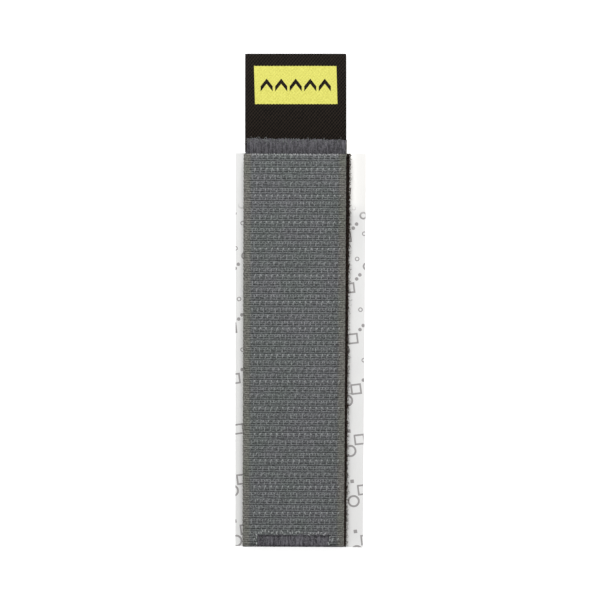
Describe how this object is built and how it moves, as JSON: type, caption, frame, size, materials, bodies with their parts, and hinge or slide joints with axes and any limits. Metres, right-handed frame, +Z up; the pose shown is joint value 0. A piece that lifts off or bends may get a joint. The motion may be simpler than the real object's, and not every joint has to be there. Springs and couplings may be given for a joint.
{
  "type": "adhesive-backed hook and loop cable tie",
  "caption": "Woven hook strap lying closed on a loop tape with an adhesive back and release liner, with a folded ribbon pull tab welded into its end.",
  "frame": {"origin": "middle of the footprint, on the surface that the release liner lies on", "axes": "+Y along the strap towards the pull tab's fold, +Z up through the layers, from the liner to the back of the hook tape"},
  "size_m": [0.0326, 0.1235, 0.004],
  "materials": {
    "liner_film": "white silicone-coated release film, satin gloss",
    "adhesive": "pressure-sensitive adhesive film, pale amber",
    "black_loop": "black nylon loop pile, matte",
    "grey_hook_weave": "grey woven nylon hook tape, back face, matte",
    "black_ribbon": "black woven ribbon with a fine diagonal lattice",
    "yellow_print": "flat yellow field on the ribbon's weave"
  },
  "bodies": {
    "root": {"release_liner": "liner_film", "adhesive_film": "adhesive", "loop_base_tape": "black_loop", "hook_strap": "grey_hook_weave", "pull_tab_ribbon": "black_ribbon", "tab_panel": "yellow_print"}
  },
  "joints": []
}
